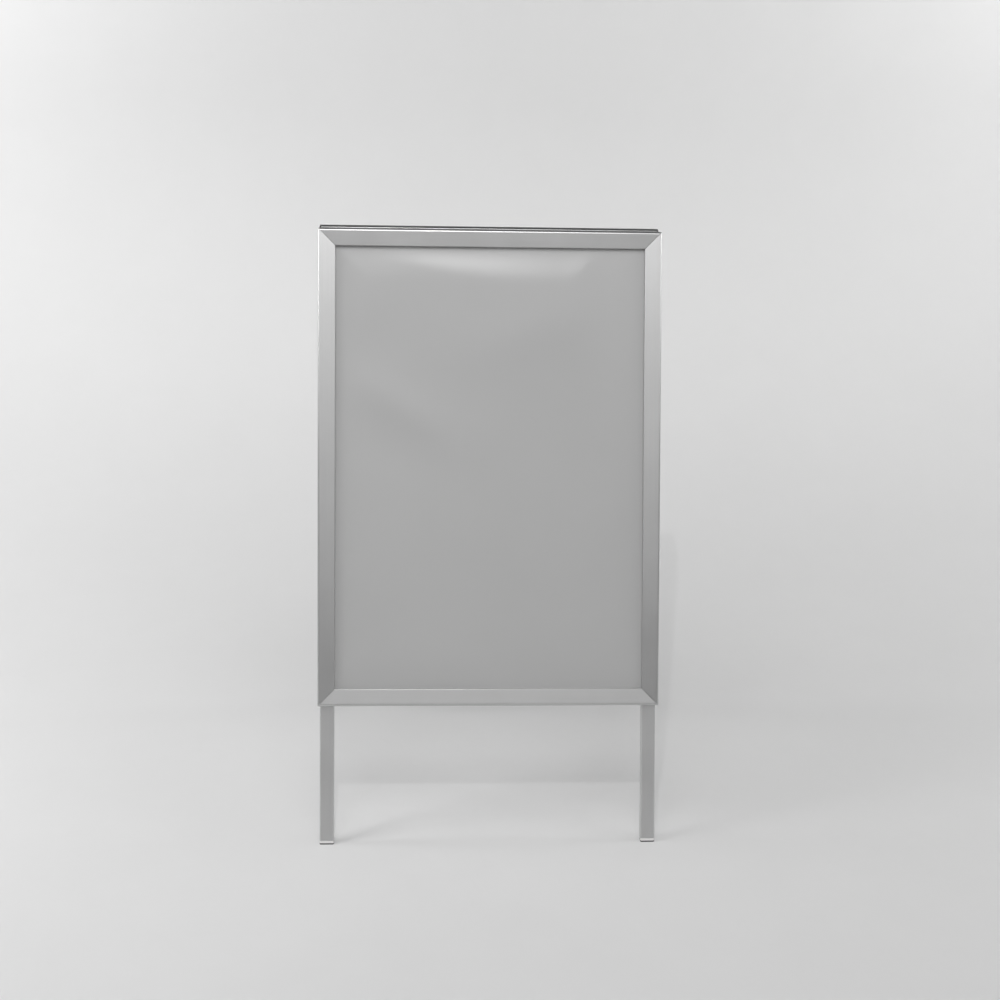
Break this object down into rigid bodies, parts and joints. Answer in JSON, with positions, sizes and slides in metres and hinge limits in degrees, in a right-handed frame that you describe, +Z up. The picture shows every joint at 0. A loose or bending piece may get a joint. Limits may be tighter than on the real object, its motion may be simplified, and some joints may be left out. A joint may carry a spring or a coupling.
{
  "type": "sandwich board",
  "caption": "Folding A-frame sandwich board: two mitred snap-open poster frames on hinged legs, held open by folding side stays.",
  "frame": {"origin": "on the floor, midway between the four soles", "axes": "+Z up; +X to the right of someone facing the front board; the front board faces -Y, the rear board +Y; +Z is the longest extent"},
  "size_m": [0.638, 0.636, 1.109],
  "materials": {
    "anodised_aluminium": "satin anodised",
    "leg_aluminium": "matt anodised",
    "white_steel": "white coated",
    "clear_sheet": "matt anti-glare film",
    "foot_plastic": "translucent white",
    "hinge_plastic": "moulded",
    "sole_rubber": "matt",
    "zinc_steel": "zinc plated",
    "spring_steel": "bright"
  },
  "bodies": {
    "front_frame": {"front_rail_top": "anodised_aluminium", "front_rail_right": "anodised_aluminium", "front_rail_bottom": "anodised_aluminium", "front_rail_left": "anodised_aluminium", "front_corner_keys": "leg_aluminium", "front_springs": "spring_steel", "front_panel": "white_steel", "front_sheet": "clear_sheet", "front_leg_left": "leg_aluminium", "front_leg_right": "leg_aluminium", "front_leg_screws": "zinc_steel", "front_foot_left": "foot_plastic", "front_foot_right": "foot_plastic", "front_sole_left": "sole_rubber", "front_sole_right": "sole_rubber", "front_hinge_cap_left": "hinge_plastic", "front_hinge_cap_right": "hinge_plastic", "front_stay_pivot_left": "zinc_steel", "front_stay_pivot_right": "zinc_steel"},
    "rear_frame": {"rear_rail_top": "anodised_aluminium", "rear_rail_right": "anodised_aluminium", "rear_rail_bottom": "anodised_aluminium", "rear_rail_left": "anodised_aluminium", "rear_corner_keys": "leg_aluminium", "rear_springs": "spring_steel", "rear_panel": "white_steel", "rear_sheet": "clear_sheet", "rear_leg_left": "leg_aluminium", "rear_leg_right": "leg_aluminium", "rear_leg_screws": "zinc_steel", "rear_foot_left": "foot_plastic", "rear_foot_right": "foot_plastic", "rear_sole_left": "sole_rubber", "rear_sole_right": "sole_rubber", "rear_hinge_cap_left": "hinge_plastic", "rear_hinge_cap_right": "hinge_plastic", "hinge_pin_left": "zinc_steel", "hinge_pin_right": "zinc_steel", "rear_stay_pivot_left": "zinc_steel", "rear_stay_pivot_right": "zinc_steel"},
    "front_snap_top": {"front_snap_top": "anodised_aluminium"},
    "front_snap_right": {"front_snap_right": "anodised_aluminium"},
    "front_snap_bottom": {"front_snap_bottom": "anodised_aluminium"},
    "front_snap_left": {"front_snap_left": "anodised_aluminium"},
    "rear_snap_top": {"rear_snap_top": "anodised_aluminium"},
    "rear_snap_right": {"rear_snap_right": "anodised_aluminium"},
    "rear_snap_bottom": {"rear_snap_bottom": "anodised_aluminium"},
    "rear_snap_left": {"rear_snap_left": "anodised_aluminium"},
    "front_stay_left": {"front_stay_left": "zinc_steel", "stay_rivet_left": "zinc_steel"},
    "front_stay_right": {"front_stay_right": "zinc_steel", "stay_rivet_right": "zinc_steel"},
    "rear_stay_left": {"rear_stay_left": "zinc_steel"},
    "rear_stay_right": {"rear_stay_right": "zinc_steel"}
  },
  "joints": [
    {"name": "fold", "type": "hinge", "parent": "front_frame", "child": "rear_frame", "pos_m": [0, 0, 1.0963], "axis": [1, 0, 0], "range_deg": [-30.8, 0]},
    {"name": "front_stay_left_swing", "type": "hinge", "parent": "front_frame", "child": "front_stay_left", "pos_m": [-0.2854, -0.15642, 0.55853], "axis": [1, 0, 0], "range_deg": [0, 71.7]},
    {"name": "rear_stay_left_swing", "type": "hinge", "parent": "rear_frame", "child": "rear_stay_left", "pos_m": [-0.2832, 0.15642, 0.55853], "axis": [1, 0, 0], "range_deg": [-71.7, 0]},
    {"name": "front_stay_right_swing", "type": "hinge", "parent": "front_frame", "child": "front_stay_right", "pos_m": [0.2854, -0.15642, 0.55853], "axis": [1, 0, 0], "range_deg": [0, 71.7]},
    {"name": "rear_stay_right_swing", "type": "hinge", "parent": "rear_frame", "child": "rear_stay_right", "pos_m": [0.2832, 0.15642, 0.55853], "axis": [1, 0, 0], "range_deg": [-71.7, 0]},
    {"name": "front_snap_top_open", "type": "hinge", "parent": "front_frame", "child": "front_snap_top", "pos_m": [0, -0.01768, 1.10517], "axis": [-1, 0, 0], "range_deg": [0, 95]},
    {"name": "rear_snap_top_open", "type": "hinge", "parent": "rear_frame", "child": "rear_snap_top", "pos_m": [0, 0.01768, 1.10517], "axis": [1, 0, 0], "range_deg": [0, 95]},
    {"name": "front_snap_right_open", "type": "hinge", "parent": "front_frame", "child": "front_snap_right", "pos_m": [0.31725, -0.13473, 0.68024], "axis": [0, 0.2656, 0.9641], "range_deg": [0, 95]},
    {"name": "rear_snap_right_open", "type": "hinge", "parent": "rear_frame", "child": "rear_snap_right", "pos_m": [0.31725, 0.13473, 0.68024], "axis": [0, 0.2656, -0.9641], "range_deg": [0, 95]},
    {"name": "front_snap_bottom_open", "type": "hinge", "parent": "front_frame", "child": "front_snap_bottom", "pos_m": [0, -0.25177, 0.25532], "axis": [1, 0, 0], "range_deg": [0, 95]},
    {"name": "rear_snap_bottom_open", "type": "hinge", "parent": "rear_frame", "child": "rear_snap_bottom", "pos_m": [0, 0.25177, 0.25532], "axis": [-1, 0, 0], "range_deg": [0, 95]},
    {"name": "front_snap_left_open", "type": "hinge", "parent": "front_frame", "child": "front_snap_left", "pos_m": [-0.31725, -0.13473, 0.68024], "axis": [0, -0.2656, -0.9641], "range_deg": [0, 95]},
    {"name": "rear_snap_left_open", "type": "hinge", "parent": "rear_frame", "child": "rear_snap_left", "pos_m": [-0.31725, 0.13473, 0.68024], "axis": [0, -0.2656, 0.9641], "range_deg": [0, 95]}
  ],
  "couplings": [
    {"joint": "front_stay_left_swing", "follows": "fold", "ratio": -2.3269},
    {"joint": "rear_stay_left_swing", "follows": "fold", "ratio": 2.3269},
    {"joint": "front_stay_right_swing", "follows": "fold", "ratio": -2.3269},
    {"joint": "rear_stay_right_swing", "follows": "fold", "ratio": 2.3269}
  ]
}
